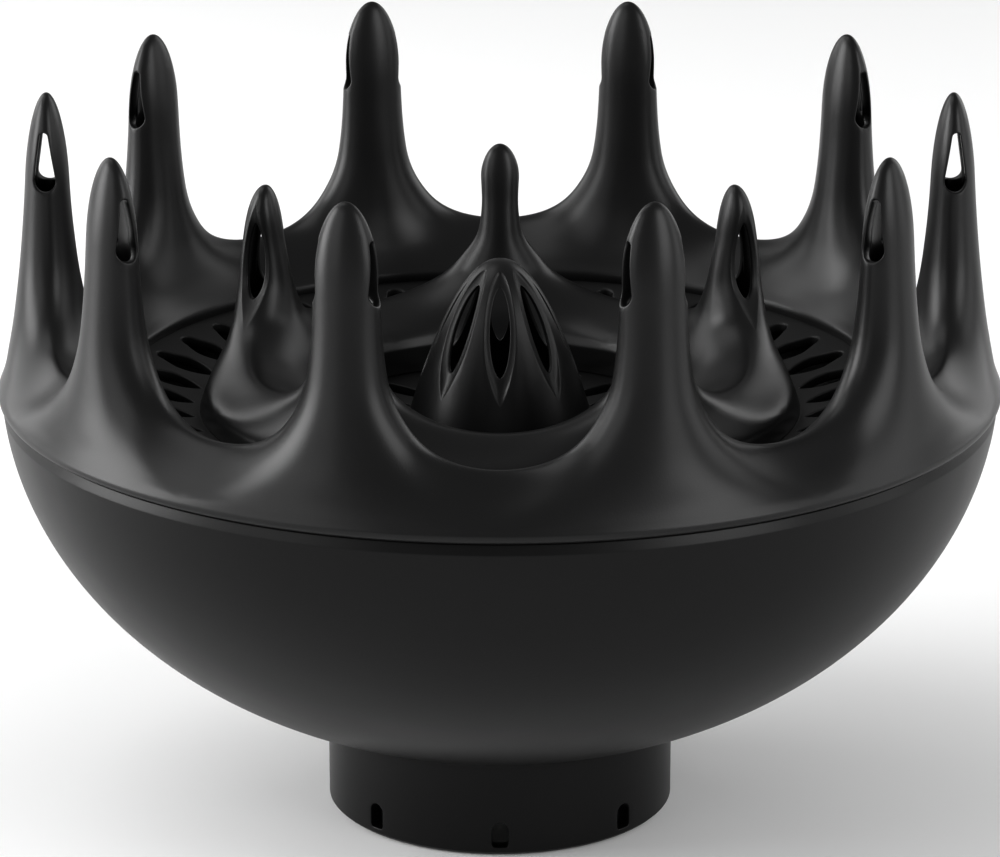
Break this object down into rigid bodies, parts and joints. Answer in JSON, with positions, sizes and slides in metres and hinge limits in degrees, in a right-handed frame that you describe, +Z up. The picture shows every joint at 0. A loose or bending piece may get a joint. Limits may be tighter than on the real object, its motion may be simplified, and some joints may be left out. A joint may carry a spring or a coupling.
{
  "type": "hair dryer diffuser",
  "caption": "Bowl-shaped diffuser for a hair dryer, with a nozzle collar, hollow outer and inner fingers with side holes, slotted grilles and a slotted centre cone.",
  "frame": {"origin": "centre of the collar's bottom edge", "axes": "+Z up the air path, from the collar to the finger tips; -Y is the front, between two outer fingers"},
  "size_m": [0.15, 0.15, 0.1105],
  "materials": {
    "bowl_plastic": "soft satin black, moulded",
    "crown_plastic": "satin black, moulded",
    "grille_plastic": "matt black, moulded",
    "cone_plastic": "satin black, moulded",
    "deflector_plastic": "matt dark grey, heat-resistant moulding",
    "grip_rubber": "matt silicone",
    "seal_rubber": "matt silicone",
    "screw_steel": "zinc-plated"
  },
  "bodies": {
    "root": {"bowl_shell": "bowl_plastic", "nozzle_grip_ring": "grip_rubber", "crown_seal_ring": "seal_rubber", "crown_shell": "crown_plastic", "outer_grille": "grille_plastic", "inner_finger_ring": "crown_plastic", "inner_grille": "grille_plastic", "centre_cone": "cone_plastic", "air_deflector": "deflector_plastic", "crown_screws": "screw_steel", "ring_screws": "screw_steel"}
  },
  "joints": []
}
